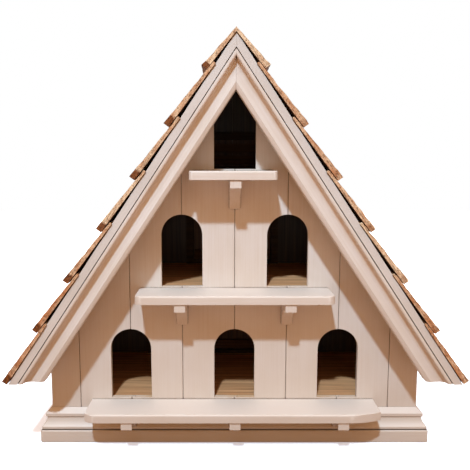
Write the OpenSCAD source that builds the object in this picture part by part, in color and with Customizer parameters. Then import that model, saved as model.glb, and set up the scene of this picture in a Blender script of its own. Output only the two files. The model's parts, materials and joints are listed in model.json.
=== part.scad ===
// Triangular dovecote with three tiers of nest boxes, in timber.
// The doorways look towards -Y. The origin is on the ground, under the middle of the whole.
// Three drop-down doors in the rear wall open the tiers for cleaning.

/* [Body] */
// Width across the outer faces of the side walls
body_w = 806; // [720:1:880]
// Depth from the front wall's face to the rear wall's face
body_d = 320; // [240:1:400]
// Thickness of the wall boards
wall_t = 12; // [10:0.5:16]
// Cover width of one wall board
board_w = 113; // [104:0.5:118]
// Length of a board's tongue
tongue_l = 6; // [3:0.5:8]
// Thickness of a board's tongue
tongue_t = 4; // [2:0.5:5]
// Slack round a tongue in its groove
tongue_slack = 0.2; // [0.1:0.05:0.5]
// Gap between two boards at their faces
board_gap = 0.8; // [0.4:0.1:2]
// Chamfer along each board's arris
board_chamfer = 1.2; // [0.5:0.1:2]

/* [Tiers] */
// Height of the bottom nest floor's top
base_floor_z = 91; // [85:1:110]
// Thickness of the bottom nest floor
base_floor_t = 18; // [12:1:24]
// Height from the bottom floor to the middle floor
lower_tier = 250; // [225:1:265]
// Height from the middle floor to the top floor
upper_tier = 251; // [225:1:265]
// Thickness of the two upper floors
floor_t = 12; // [9:0.5:16]
// Thickness of the partitions
partition_t = 12; // [9:0.5:18]
// Side of the square battens that carry the bottom floor
bearer_s = 20; // [14:1:28]
// Distance from each end of a bearer to the side wall
bearer_inset = 30; // [10:1:60]
// Gap in a butt or mitre joint between two strips of one kind
joint_gap = 0.2; // [0.1:0.05:0.5]

/* [Doorways] */
// Width of each doorway
doorway_w = 88; // [76:1:96]
// Height of the lower five doorways
doorway_h = 155; // [130:1:165]
// Height of the top doorway
top_doorway_h = 160; // [130:1:164]
// Height of each sill above its nest floor
sill_up = 3; // [1:0.5:10]

/* [Landing ledges] */
// Thickness of the ledges
ledge_t = 18; // [14:0.5:22]
// Radius of the ledges' top front arris
ledge_round = 4; // [2:0.5:6]
// Depth of the upper ledges' tops below their sills
ledge_drop = 3.5; // [1:0.5:8]
// Length of the bottom ledge
bottom_ledge_l = 620; // [560:1:700]
// Depth of the bottom ledge
bottom_ledge_d = 81; // [70:1:100]
// Length of the rounding at the bottom ledge's left corner
bottom_left_l = 23; // [10:1:60]
// Depth of the rounding at the bottom ledge's left corner
bottom_left_d = 10; // [6:0.5:20]
// Length of the rounding at the bottom ledge's right corner
bottom_right_l = 70; // [10:1:90]
// Depth of the rounding at the bottom ledge's right corner
bottom_right_d = 16; // [6:0.5:20]
// Shift of the bottom ledge from the middle
bottom_ledge_x = -4; // [-8:0.5:8]
// Length of the middle ledge
middle_ledge_l = 406; // [340:1:450]
// Depth of the middle ledge
middle_ledge_d = 79; // [65:1:100]
// Length of the rounding at the middle ledge's corners
middle_corner_l = 15; // [8:1:40]
// Depth of the rounding at the middle ledge's corners
middle_corner_d = 8; // [5:0.5:15]
// Shift of the middle ledge from the middle
middle_ledge_x = -1; // [-8:0.5:8]
// Length of the top ledge
top_ledge_l = 174; // [140:1:200]
// Depth of the top ledge
top_ledge_d = 80; // [65:1:100]
// Length of the rounding at the top ledge's corners
top_corner_l = 8; // [6:1:30]
// Depth of the rounding at the top ledge's corners
top_corner_d = 5; // [4:0.5:12]
// Shift of the top ledge from the middle
top_ledge_x = -5; // [-8:0.5:8]

/* [Brackets] */
// Width of each bracket
bracket_w = 23; // [16:1:30]
// Height of a bracket under the upper ledges
bracket_h = 62; // [50:1:70]
// Distance from a ledge's front edge back to its bracket
bracket_setback = 3; // [1:0.5:20]
// Height of a bracket's front block
bracket_block_h = 16.5; // [14:0.5:24]
// Depth of the step behind the block
bracket_step = 24; // [16:1:32]
// Height of the quirk under the block
bracket_quirk = 3; // [1:0.5:5]
// Radius of the bracket's hollow
bracket_hollow_r = 44; // [38:1:50]

/* [Plinth] */
// Height of the base strip
strip_h = 27; // [20:0.5:34]
// Thickness of the base strip
strip_p = 22; // [20:0.5:26]
// Radius of the base strip's upper arris
strip_round = 3; // [1:0.5:5]
// Radius of the base strip's upright corners
strip_corner_r = 6; // [3:0.5:10]
// Height of the whole plinth
plinth_h = 72; // [66:0.5:74]
// Thickness of the moulding at its foot
cove_foot_p = 18.5; // [17:0.5:20]
// Thickness of the moulding at the top of its hollow
cove_top_p = 9; // [7:0.5:10]
// Radius of the moulding's hollow
cove_r = 26; // [22:0.5:26]
// Projection of the nose above the hollow
nose_p = 11.5; // [10.5:0.5:14]
// Height of the nose's upright face
nose_h = 7; // [5:0.5:9]
// Height of the weathered slope above the nose
nose_slope_h = 11; // [8:0.5:14]

/* [Roof] */
// Pitch of the roof
pitch = 56.25; // [54:0.25:58]
// Height of the roof decks' underside at the ridge
ridge_z = 822.5; // [815:1:850]
// Height of the level cut at the eaves
eaves_z = 163.5; // [150:0.5:175]
// Thickness of the roof decks
deck_t = 15; // [12:0.5:20]
// Overhang of the roof in front of the front wall
front_over = 100; // [80:1:120]
// Overhang of the roof behind the rear wall
rear_over = 40; // [30:1:60]
// Width of the rear verge boards
verge_w = 20; // [16:1:23]
// Thickness of the rear verge boards
verge_t = 15; // [9:0.5:20]

/* [Rake moulding] */
// Width of the rake moulding
rake_w = 42; // [38:0.5:48]
// Depth from the roof's front edge to the moulding's back
rake_d = 40; // [30:1:55]
// Width of the flat outer band
rake_band = 5; // [3:0.5:7]
// Setback of the band from the roof's front edge
rake_setback = 1; // [0.5:0.5:3]
// Width of the shadow line between deck and band
rake_quirk_w = 1.5; // [1:0.25:3]
// Depth of the shadow line between deck and band
rake_quirk_d = 6; // [3:0.5:8]
// Radius of the round between the band and the hollow
rake_nose_r = 4; // [2:0.5:5]
// Radius of the moulding's hollow
rake_hollow_r = 11; // [9:0.5:13]
// Radius of the wide arc from the hollow to the crest
rake_rise_r = 36; // [28:1:48]
// Distance from the deck to the crest
rake_crest = 34; // [31:0.5:36]
// Fall angle of the bevel past the crest
rake_bevel = 20; // [14:1:26]
// Chamfer at the moulding's inner front edge
rake_edge = 2; // [1:0.5:4]

/* [Shingles] */
// Distance down the slope from the ridge to the first butts
first_butt = 90.5; // [85:1:110]
// Distance from the first butts to the second
top_gauge = 130; // [122:1:138]
// Gauge of the courses below
gauge = 121; // [115:1:127]
// Lap of each course over the next
lap = 30; // [20:1:45]
// Thickness of a shingle at its butt
butt_t = 13; // [11:0.5:15]
// Thickness of a shingle at its tip
tip_t = 6; // [4:0.25:6.5]
// Thickness of the top course at the ridge
ridge_tip_t = 5; // [4:0.5:8]
// Overhang of the shingles past the decks' ends
shingle_over = 4; // [0:0.5:8]
// Gap between two shingles
shingle_gap = 2; // [1:0.5:4]
// Greatest shortfall of a shingle's butt
butt_play = 4; // [0:0.5:6]
// Lift of the lowest butts off the decks
eaves_lift = 2; // [2:0.25:8]
// Width of the fillet under the lowest butts
fillet_w = 40; // [25:1:60]
// Distance from the roof's ends in to the fillet
fillet_inset = 25; // [10:1:50]

/* [Rear doors] */
// Gap round each door
door_gap = 2; // [1.5:0.25:3]
// Height of a door opening's sill above its nest floor
door_sill_up = 3; // [1:0.5:8]
// Height of the bottom door opening
bottom_door_h = 207; // [150:1:212]
// Height of the middle door opening
middle_door_h = 200; // [150:1:210]
// Height of the top door opening
top_door_h = 84; // [80:1:90]
// Half width of the top door opening
top_door_half_w = 70; // [60:0.5:72]
// Thickness of the door battens and of the stops round the openings
batten_t = 12; // [8:0.5:16]
// Height of the door battens
batten_h = 22; // [14:1:26]
// Distance from a door's edge to its lower batten
batten_margin = 10; // [6:0.5:14]
// Lap of the head and side stops over a door
stop_lap = 8; // [6:0.5:10]
// Width of the head and side stops
stop_w = 20; // [14:0.5:24]
// Height of the stop along the foot of an opening
sill_stop_h = 9; // [7:0.5:12]
// Radius of the finger notch in each door's top edge
notch_r = 8; // [5:0.5:8]
// Running gap between a closed door and what it rests on
rest_gap = 0.3; // [0.2:0.1:0.6]

/* [Hinges] */
// Length of each hinge
hinge_l = 36; // [30:1:50]
// Height of each hinge leaf
leaf_h = 17; // [14:0.5:18]
// Thickness of each hinge leaf
leaf_t = 1.2; // [0.8:0.1:1.4]
// Radius of the knuckles
knuckle_r = 3; // [2.75:0.05:3.5]
// Radius of the hinge pins
pin_r = 1.5; // [1.2:0.05:1.6]
// Running clearance of the moving knuckles
hinge_slack = 0.06; // [0.02:0.01:0.1]
// Side gap between two knuckles
knuckle_gap = 0.3; // [0.2:0.05:0.5]
// Radius of the hinge screws
screw_r = 1.5; // [1:0.1:2]
// Radius of the hinge screws' heads
screw_head_r = 3; // [2.2:0.1:3.4]
// Height of the screws' heads
screw_head_t = 0.8; // [0.5:0.1:1.2]
// Length of every screw in the wood
screw_grip = 9; // [6:0.5:9.5]
// Distance of the outer hinges' middles from the door's edge
hinge_inset = 26; // [20:1:36]

/* [Turn buttons] */
// Length of each turn button
button_l = 50; // [44:1:56]
// Width of each turn button
button_w = 16; // [12:0.5:18]
// Thickness of each turn button
button_t = 8; // [5:0.5:10]
// Distance from a door opening to the button's pivot
button_up = 15; // [13:0.5:17]
// Radius of a button's pivot screw
pivot_r = 2; // [1.5:0.1:2.5]
// Running clearance of a button on its screw
pivot_slack = 0.08; // [0.02:0.01:0.1]
// Radius of a pivot screw's head
pivot_head_r = 4.5; // [3.5:0.1:6]
// Distance of the bottom door's buttons from the middle
bottom_button_x = 169.5; // [130:0.5:200]
// Distance of the middle door's buttons from the middle
middle_button_x = 98; // [97:0.5:104]
// Distance from the top door's lower edge up to its button
top_button_up = 54; // [48:0.5:60]

/* [Post fixing] */
// Spacing of the post bolts across
bolt_x = 180; // [120:1:190]
// Spacing of the post bolts front to back
bolt_y = 160; // [100:1:200]
// Radius of the post bolt holes
bolt_r = 3.5; // [2.5:0.25:5]

/* [Hidden] */
$fn = 96;

// Colours of the finishes
paint = "#e6dcd4";
bare = "#b08a5e";
cedar = "#c8935f";
brass = "#b08d4a";
steel = "#8c8f94";

// How far a cutter reaches past what it cuts
past = 1;
half_w = body_w / 2;
// The whole depth runs from the bottom ledge's or the shingles' front edge to the shingles' rear ends
reach = max(bottom_ledge_d, front_over + shingle_over);
whole_d = reach + body_d + rear_over + shingle_over;
front_y = reach - whole_d / 2;
rear_y = front_y + body_d;
mid_y = (front_y + rear_y) / 2;
inner_front_y = front_y + wall_t;
inner_rear_y = rear_y - wall_t;
inner_half_w = half_w - wall_t;
roof_front_y = front_y - front_over;
roof_rear_y = rear_y + rear_over;

// Levels of the tiers
middle_floor_z = base_floor_z + lower_tier;
top_floor_z = middle_floor_z + upper_tier;
bottom_sill_z = base_floor_z + sill_up;
middle_sill_z = middle_floor_z + sill_up;
top_sill_z = top_floor_z + sill_up;
bottom_ledge_z = plinth_h + ledge_t;
middle_ledge_z = middle_sill_z - ledge_drop;
top_ledge_z = top_sill_z - ledge_drop;

// Roof section
run = cos(pitch);
fall = sin(pitch);
slope = tan(pitch);
deck_apex_z = ridge_z + deck_t / run;
wall_top_z = ridge_z - half_w * slope;

// Joints between the boards of the front and rear walls
wall_edges = [-half_w, -3 * board_w, -2 * board_w, -board_w, 0, board_w, 2 * board_w, 3 * board_w, half_w];
last_board = len(wall_edges) - 2;

// A shingle lies with its tip on the deck and its butt on the course below
shingle_l = gauge + lap;
last_course = 7;
function butt_s(course) = course == 1 ? first_butt : first_butt + top_gauge + (course - 2) * gauge;
function lap_over(course) = shingle_l - butt_s(course + 1) + butt_s(course);
// Height at which a course's butts lie on the course below
function butt_lift(course) = course == last_course ? eaves_lift
    : tip_t + (butt_t - tip_t + butt_lift(course + 1)) * lap_over(course) / shingle_l;
function total(v, n) = n <= 0 ? 0 : v[n - 1] + total(v, n - 1);
shingle_front_y = roof_front_y - shingle_over;
shingle_run = roof_rear_y + shingle_over - shingle_front_y;
// Odd courses have four shingles and even courses five, so that the joints are broken
function shingle_count(course) = 4 + (course + 1) % 2;
function shingle_shares(course, side) = rands(0.8, 1.25, shingle_count(course), 11 * course + side);
function shingle_plays(course, side) = rands(0, butt_play, shingle_count(course), 97 * course + side);

// Door openings: half width, foot and height of each
bottom_door = [2 * board_w, base_floor_z + door_sill_up, bottom_door_h];
middle_door = [board_w, middle_floor_z + door_sill_up, middle_door_h];
top_door = [top_door_half_w, top_floor_z + door_sill_up, top_door_h];
doors = [bottom_door, middle_door, top_door];
function hinge_x(door) = door[0] - hinge_inset;
function hinge_z(door) = door[1] + door_gap / 2;
function door_top(door) = door[1] + door[2];
hinge_y = rear_y + knuckle_r;
door_inner_y = inner_rear_y + rest_gap;
batten_inner_y = inner_rear_y - batten_t;
partition_rear_y = batten_inner_y - door_gap;
knuckle_l = hinge_l / 3;
leaf_screw_x = hinge_l / 4;
leaf_screw_z = leaf_h * 0.6;
pivot_y = rear_y + rest_gap;

// ---------- shared shapes ----------

// Plan of one board with its face at y = 0, from x0 to x1
module board_plan(x0, x1, groove, tongue) {
    left = x0 + (groove ? board_gap / 2 : 0);
    right = x1 - (tongue ? board_gap / 2 : 0);
    core_y = (wall_t - tongue_t) / 2;
    difference() {
        union() {
            polygon([[left + board_chamfer, 0], [right - board_chamfer, 0], [right, board_chamfer],
                [right, wall_t], [left, wall_t], [left, board_chamfer]]);
            if (tongue)
                translate([right - past, core_y])
                    square([tongue_l + past, tongue_t]);
        }
        if (groove)
            translate([left - past, core_y - tongue_slack])
                square([tongue_l + tongue_slack + past, tongue_t + 2 * tongue_slack]);
    }
}

// Everything under the decks, between two depths
module under_roof(y0, y1) {
    translate([0, y1, 0])
        rotate([90, 0, 0])
            linear_extrude(y1 - y0)
                polygon([[-half_w, 0], [half_w, 0], [half_w, wall_top_z], [0, ridge_z],
                    [-half_w, wall_top_z]]);
}

// Board number i of a wall, from the ground to the roof, face towards -Y at y = 0
module wall_board(i) {
    linear_extrude(ridge_z)
        board_plan(wall_edges[i], wall_edges[i + 1], i > 0, i < last_board);
}

module slab(x0, x1, y0, y1, z0, z1) {
    translate([x0, y0, z0])
        cube([x1 - x0, y1 - y0, z1 - z0]);
}

// ---------- front wall ----------

module doorway(x, sill_z, h) {
    arch_r = doorway_w / 2;
    translate([x, inner_front_y + past, sill_z])
        rotate([90, 0, 0])
            linear_extrude(wall_t + 2 * past) {
                translate([-arch_r, 0])
                    square([doorway_w, h - arch_r]);
                translate([0, h - arch_r])
                    circle(arch_r);
            }
}

module doorways() {
    for (side = [-2, 0, 2])
        doorway(side * board_w, bottom_sill_z, doorway_h);
    for (side = [-1, 1])
        doorway(side * board_w, middle_sill_z, doorway_h);
    doorway(0, top_sill_z, top_doorway_h);
}

module front_board(i) {
    color(paint)
        difference() {
            intersection() {
                translate([0, front_y, 0])
                    wall_board(i - 1);
                under_roof(front_y, inner_front_y);
            }
            doorways();
        }
}

// ---------- rear and side walls ----------

module door_opening(door) {
    slab(-door[0], door[0], inner_rear_y - past, rear_y + past, door[1], door_top(door));
}

module rear_boards(first, last) {
    color(paint)
        difference() {
            intersection() {
                translate([0, rear_y, 0])
                    mirror([0, 1, 0])
                        for (i = [first:last])
                            wall_board(i - 1);
                under_roof(inner_rear_y, rear_y);
            }
            for (door = doors)
                door_opening(door);
            fixed_screw_holes();
        }
}

// The side wall on the right; the left one is its mirror image
module side_wall() {
    edges = [inner_front_y, mid_y - board_w / 2, mid_y + board_w / 2, inner_rear_y];
    intersection() {
        translate([half_w, 0, 0])
            rotate([0, 0, 90])
                linear_extrude(ridge_z)
                    for (i = [0:2])
                        board_plan(edges[i], edges[i + 1], i > 0, i < 2);
        under_roof(inner_front_y, inner_rear_y);
    }
}

module side_wall_right() {
    color(paint) side_wall();
}

module side_wall_left() {
    color(paint) mirror([1, 0, 0]) side_wall();
}

// ---------- floors, partitions and cleats ----------

module base_floor() {
    color(bare)
        difference() {
            slab(-inner_half_w, inner_half_w, inner_front_y, inner_rear_y,
                base_floor_z - base_floor_t, base_floor_z);
            for (sx = [-1, 1], sy = [-1, 1])
                translate([sx * bolt_x / 2, mid_y + sy * bolt_y / 2, base_floor_z - base_floor_t - past])
                    cylinder(h = base_floor_t + 2 * past, r = bolt_r);
        }
}

// A floor whose ends are bevelled to the roof
module upper_floor(z) {
    color(bare)
        intersection() {
            slab(-inner_half_w, inner_half_w, inner_front_y, inner_rear_y, z - floor_t, z);
            under_roof(inner_front_y, inner_rear_y);
        }
}

module partition(x, z0, z1) {
    slab(x - partition_t / 2, x + partition_t / 2, inner_front_y, partition_rear_y, z0, z1);
}

module bottom_partitions() {
    color(bare)
        for (side = [-1, 1])
            partition(side * board_w, base_floor_z, middle_floor_z - floor_t);
}

module middle_partition() {
    color(bare) partition(0, middle_floor_z, top_floor_z - floor_t);
}

module cleats() {
    bearer_half = inner_half_w - bearer_inset;
    bearer_top = base_floor_z - base_floor_t;
    color(bare) {
        slab(-bearer_half, bearer_half, inner_front_y, inner_front_y + bearer_s,
            bearer_top - bearer_s, bearer_top);
        slab(-bearer_half, bearer_half, inner_rear_y - bearer_s, inner_rear_y,
            bearer_top - bearer_s, bearer_top);
        for (door = doors)
            door_stops(door);
    }
}

// Strips round the inside of an opening: the door closes against those at its head and sides
module door_stops(door) {
    inner_x = door[0] - door_gap - stop_lap;
    outer_x = inner_x + stop_w;
    sill_z = door[1] - door_sill_up + sill_stop_h;
    head_z = door_top(door) - door_gap - stop_lap;
    slab(-outer_x, outer_x, batten_inner_y, inner_rear_y, sill_z - sill_stop_h, sill_z);
    slab(-outer_x, outer_x, batten_inner_y, inner_rear_y, head_z, head_z + stop_w);
    for (side = [0, 1])
        mirror([side, 0, 0])
            slab(inner_x, outer_x, batten_inner_y, inner_rear_y, sill_z + joint_gap, head_z - joint_gap);
}

// ---------- plinth ----------

// Section of the base strip: x is the projection, y the height
module strip_section() {
    square([strip_p - strip_round, strip_h]);
    square([strip_p, strip_h - strip_round]);
    translate([strip_p - strip_round, strip_h - strip_round])
        circle(strip_round);
}

// Section of the cove and nose moulding that stands on the base strip
module moulding_section() {
    nose_foot = plinth_h - nose_slope_h - nose_h;
    difference() {
        union() {
            translate([0, strip_h])
                square([cove_foot_p, nose_foot - strip_h]);
            polygon([[0, nose_foot], [nose_p, nose_foot], [nose_p, nose_foot + nose_h], [0, plinth_h]]);
        }
        intersection() {
            translate([cove_top_p + cove_r, nose_foot])
                circle(cove_r);
            translate([0, strip_h])
                square([cove_foot_p + past, nose_foot - strip_h]);
        }
    }
}

// The section run along a wall from x0 to x1, with its back at y = 0 and its face towards -Y
module wall_run(x0, x1) {
    translate([x0, 0, 0])
        rotate([90, 0, 90])
            linear_extrude(x1 - x0)
                mirror([1, 0])
                    children();
}

// Keeps what lies within the mitres of a wall of half length h, for a section up to p thick
module mitred(h, p) {
    intersection() {
        children();
        linear_extrude(plinth_h)
            polygon([[-h, 0], [h, 0], [h + p, -p], [-h - p, -p]]);
    }
}

module strip_plan(p, r) {
    translate([-half_w - p + r, front_y - p])
        square([body_w + 2 * (p - r), body_d + 2 * p]);
    translate([-half_w - p, front_y - p + r])
        square([body_w + 2 * p, body_d + 2 * (p - r)]);
    for (sx = [-1, 1], y = [front_y - p + r, rear_y + p - r])
        translate([sx * (half_w + p - r), y])
            circle(r);
}

module strip_side(h) {
    reach = strip_p + past;
    mitred(h, reach)
        wall_run(-h - reach, h + reach)
            strip_section();
}

module moulding_side(h) {
    reach = cove_foot_p + past;
    mitred(h, reach)
        wall_run(-h - reach, h + reach)
            moulding_section();
}

// Places a front-facing run at the front, the rear or both sides
module at_front() {
    translate([0, front_y, 0])
        children();
}

module at_rear() {
    translate([0, rear_y, 0])
        rotate([0, 0, 180])
            children();
}

module at_sides() {
    for (side = [-1, 1])
        translate([side * half_w, mid_y, 0])
            rotate([0, 0, side * 90])
                children();
}

module rounded_strip() {
    color(paint)
        intersection() {
            children();
            linear_extrude(strip_h)
                strip_plan(strip_p, strip_corner_r);
        }
}

module base_strip_front() {
    rounded_strip() at_front() strip_side(half_w);
}

module base_strip_rear() {
    rounded_strip() at_rear() strip_side(half_w);
}

module base_strips_side() {
    rounded_strip() at_sides() strip_side(body_d / 2);
}

module plinth_moulding_front() {
    color(paint) at_front() moulding_side(half_w);
}

module plinth_moulding_rear() {
    color(paint) at_rear() moulding_side(half_w);
}

module plinth_mouldings_side() {
    color(paint) at_sides() moulding_side(body_d / 2);
}

// ---------- roof ----------

module roof_deck() {
    color(paint)
        translate([0, roof_rear_y, 0])
            rotate([90, 0, 0])
                linear_extrude(roof_rear_y - roof_front_y)
                    polygon([[0, ridge_z], [0, deck_apex_z], [(deck_apex_z - eaves_z) / slope, eaves_z],
                        [(ridge_z - eaves_z) / slope, eaves_z]]);
}

module roof_deck_right() {
    roof_deck();
}

module roof_deck_left() {
    mirror([1, 0, 0]) roof_deck();
}

// A section run down under the right-hand deck: x is the distance from the deck, y the depth.
// It is mitred at the ridge, with half the joint's gap on its side, and cut level at the eaves.
module under_deck_run(w) {
    spare = w * slope + past;
    run_l = (ridge_z - eaves_z) / fall + spare;
    intersection() {
        translate([0, 0, ridge_z])
            rotate([0, 90 + pitch, 0])
                translate([0, 0, -spare])
                    linear_extrude(run_l + spare)
                        children();
        translate([joint_gap / 2, -body_d, eaves_z])
            cube([body_w, 2 * body_d, ridge_z]);
    }
}

// Section of the rake moulding: band, round, hollow, wide rise to the crest, bevel and inner edge
module rake_section() {
    round_y = rake_setback + rake_nose_r;
    hollow_x = rake_band + rake_nose_r + rake_hollow_r;
    rise_y = round_y + rake_hollow_r - rake_rise_r;
    crest_y = rise_y + sqrt(pow(rake_rise_r, 2) - pow(rake_crest - hollow_x, 2));
    bevel_x = rake_w - rake_edge;
    bevel_y = crest_y + (bevel_x - rake_crest) * tan(rake_bevel);
    difference() {
        polygon([[0, rake_d], [0, rake_quirk_d], [rake_quirk_w, rake_quirk_d], [rake_quirk_w, rake_setback],
            [rake_band, rake_setback], [rake_band, round_y], [hollow_x, round_y], [rake_crest, crest_y],
            [bevel_x, bevel_y], [rake_w, bevel_y + rake_edge], [rake_w, rake_d]]);
        translate([hollow_x, round_y])
            circle(rake_hollow_r);
        intersection() {
            translate([hollow_x, rise_y])
                circle(rake_rise_r);
            translate([hollow_x, 0])
                square([rake_crest - hollow_x, rake_d]);
        }
    }
    translate([rake_band, round_y])
        circle(rake_nose_r);
}

module rake_moulding() {
    color(paint)
        translate([0, roof_front_y, 0])
            under_deck_run(rake_w)
                rake_section();
}

module rake_moulding_right() {
    rake_moulding();
}

module rake_moulding_left() {
    mirror([1, 0, 0]) rake_moulding();
}

module rear_verge_boards() {
    color(paint)
        for (side = [0, 1])
            mirror([side, 0, 0])
                translate([0, roof_rear_y - verge_t, 0])
                    under_deck_run(verge_w)
                        square([verge_w, verge_t]);
}

// An outline on the right-hand deck, x down the slope and y off the deck, from depth y0 to y1
module on_deck(y0, y1) {
    translate([0, y1, deck_apex_z])
        rotate([0, pitch, 0])
            rotate([90, 0, 0])
                linear_extrude(y1 - y0)
                    children();
}

// The top course is cut at the ridge, and each other course ends in its tip
module shingle_outline(course, play) {
    s = butt_s(course);
    tip_s = course == 1 ? 0 : s - shingle_l;
    tip = course == 1 ? ridge_tip_t : tip_t;
    mitre = course == 1 ? tip * slope : 0;
    lift = butt_lift(course);
    under = lift / (s - tip_s);
    over = (lift + butt_t - tip) / (s - tip_s + mitre);
    polygon([[tip_s, 0], [s - play, lift - play * under],
        [s - play, lift + butt_t - play * over], [tip_s - mitre, tip]]);
}

module shingle_course(course) {
    n = shingle_count(course);
    color(cedar)
        for (side = [0, 1]) {
            shares = shingle_shares(course, side);
            plays = shingle_plays(course, side);
            per_share = shingle_run / total(shares, n);
            mirror([side, 0, 0])
                for (k = [0:n - 1]) {
                    y0 = shingle_front_y + total(shares, k) * per_share;
                    y1 = shingle_front_y + total(shares, k + 1) * per_share;
                    on_deck(y0 + (k > 0 ? shingle_gap / 2 : 0), y1 - (k < n - 1 ? shingle_gap / 2 : 0))
                        shingle_outline(course, plays[k]);
                }
        }
}

module eaves_fillets() {
    tip_s = butt_s(last_course) - shingle_l;
    deck_end_s = (deck_apex_z - eaves_z) / fall;
    low_s = min(deck_end_s, butt_s(last_course) - butt_play);
    high_s = low_s - fillet_w;
    color(bare)
        for (side = [0, 1])
            mirror([side, 0, 0])
                on_deck(roof_front_y + fillet_inset, roof_rear_y - fillet_inset)
                    polygon([[high_s, 0], [low_s, 0], [low_s, eaves_lift * (low_s - tip_s) / shingle_l],
                        [high_s, eaves_lift * (high_s - tip_s) / shingle_l]]);
}

// ---------- ledges and brackets ----------

// Takes off a front corner at the right end, x along the ledge by a and back by b
module corner_cut(x, d, a, b) {
    r = (a * a + b * b) / (2 * b);
    difference() {
        translate([x - a, -d - past])
            square([a + past, b + past]);
        translate([x - a, -d + r])
            circle(r);
    }
}

// A ledge with its back at the front wall and its middle at x. left and right are its corners'
// [length, depth].
module ledge(x, l, d, top_z, left, right) {
    color(paint)
        translate([x, front_y, top_z - ledge_t])
            intersection() {
                linear_extrude(ledge_t)
                    difference() {
                        translate([-l / 2, -d])
                            square([l, d]);
                        corner_cut(l / 2, d, right[0], right[1]);
                        mirror([1, 0])
                            corner_cut(l / 2, d, left[0], left[1]);
                    }
                wall_run(-l / 2, l / 2) {
                    square([d - ledge_round, ledge_t]);
                    square([d, ledge_t - ledge_round]);
                    translate([d - ledge_round, ledge_t - ledge_round])
                        circle(ledge_round);
                }
            }
}

module bottom_ledge() {
    ledge(bottom_ledge_x, bottom_ledge_l, bottom_ledge_d, bottom_ledge_z,
        [bottom_left_l, bottom_left_d], [bottom_right_l, bottom_right_d]);
}

module middle_ledge() {
    corner = [middle_corner_l, middle_corner_d];
    ledge(middle_ledge_x, middle_ledge_l, middle_ledge_d, middle_ledge_z, corner, corner);
}

module top_ledge() {
    corner = [top_corner_l, top_corner_d];
    ledge(top_ledge_x, top_ledge_l, top_ledge_d, top_ledge_z, corner, corner);
}

// Side view of a bracket: x is the distance from the wall, y the height below the ledge
module bracket_section(p, h) {
    hollow_x = p - bracket_step;
    hollow_y = bracket_block_h + bracket_quirk + bracket_hollow_r;
    difference() {
        union() {
            translate([0, -bracket_block_h])
                square([p, bracket_block_h]);
            translate([0, -h])
                square([hollow_x, h]);
        }
        translate([hollow_x, -hollow_y])
            circle(bracket_hollow_r);
    }
}

module bracket(x, ledge_d, ledge_z, h) {
    color(paint)
        translate([x, front_y, ledge_z - ledge_t])
            wall_run(-bracket_w / 2, bracket_w / 2)
                bracket_section(ledge_d - bracket_setback, h);
}

// The bottom brackets stand on the base strip and are scribed to the moulding
module bottom_brackets() {
    for (side = [-2, 0, 2])
        color(paint)
            difference() {
                bracket(side * board_w, bottom_ledge_d, bottom_ledge_z, plinth_h - strip_h);
                at_front()
                    wall_run(-half_w, half_w)
                        moulding_section();
            }
}

module middle_brackets() {
    for (side = [-1, 1])
        bracket(side * board_w, middle_ledge_d, middle_ledge_z, bracket_h);
}

// ---------- doors ----------

// Plan edges of a door's boards, kept on the wall's own joints
function door_edges(door) = concat([-door[0] + door_gap],
    [for (i = [1:last_board]) if (abs(wall_edges[i]) < door[0] - tongue_l - door_gap) wall_edges[i]],
    [door[0] - door_gap]);

module door_boards(door) {
    edges = door_edges(door);
    count = len(edges) - 1;
    color(paint)
        difference() {
            intersection() {
                translate([0, rear_y, door[1] + door_gap])
                    mirror([0, 1, 0])
                        linear_extrude(door[2] - 2 * door_gap)
                            for (i = [0:count - 1])
                                board_plan(edges[i], edges[i + 1], i > 0, i < count - 1);
                slab(-door[0], door[0], door_inner_y, rear_y, door[1], door_top(door));
            }
            translate([0, rear_y + past, door_top(door) - door_gap])
                rotate([90, 0, 0])
                    cylinder(h = wall_t + 2 * past, r = notch_r);
            door_screw_holes(door);
        }
}

module door_battens(door) {
    reach = door[0] - 2 * door_gap - stop_lap;
    foot = door[1] + door_gap + batten_margin;
    head = door_top(door) - door_gap - stop_lap - batten_margin;
    color(bare)
        for (z = [foot, head - batten_h])
            slab(-reach, reach, batten_inner_y + rest_gap, door_inner_y, z, z + batten_h);
}

// ---------- hinges ----------

// Puts its children at both hinges of a door, with the pin along x at the origin
module at_hinges(door) {
    for (side = [-1, 1])
        translate([side * hinge_x(door), hinge_y, hinge_z(door)])
            children();
}

// A round along x, from x0 to x1
module rod(r, x0, x1) {
    translate([x0, 0, 0])
        rotate([0, 90, 0])
            cylinder(h = x1 - x0, r = r);
}

// One leaf above the pin, with a knuckle over each [x0, x1] given; the rest is kept clear
module leaf(knuckles, gaps, bore_r) {
    difference() {
        union() {
            slab(-hinge_l / 2, hinge_l / 2, -knuckle_r, leaf_t - knuckle_r, 0, leaf_h);
            for (k = knuckles)
                rod(knuckle_r, k[0], k[1]);
        }
        for (g = gaps)
            rod(knuckle_r + knuckle_gap, g[0], g[1]);
        rod(bore_r, -hinge_l / 2 - past, hinge_l / 2 + past);
        leaf_screw_places()
            screw_hole();
    }
}

middle_knuckle = [-knuckle_l / 2, knuckle_l / 2];
outer_knuckles = [[-hinge_l / 2, -knuckle_l / 2 - knuckle_gap], [knuckle_l / 2 + knuckle_gap, hinge_l / 2]];
outer_spaces = [[-hinge_l / 2 - past, -knuckle_l / 2], [knuckle_l / 2, hinge_l / 2 + past]];
middle_space = [-knuckle_l / 2 - knuckle_gap, knuckle_l / 2 + knuckle_gap];

module leaf_screw_places() {
    for (side = [-1, 1])
        translate([side * leaf_screw_x, -knuckle_r, leaf_screw_z])
            children();
}

// Screws and their holes run along y, with the wood's face at the origin
module screw_hole() {
    translate([0, knuckle_r, 0])
        rotate([90, 0, 0])
            cylinder(h = screw_grip + knuckle_r, r = screw_r);
}

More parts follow.
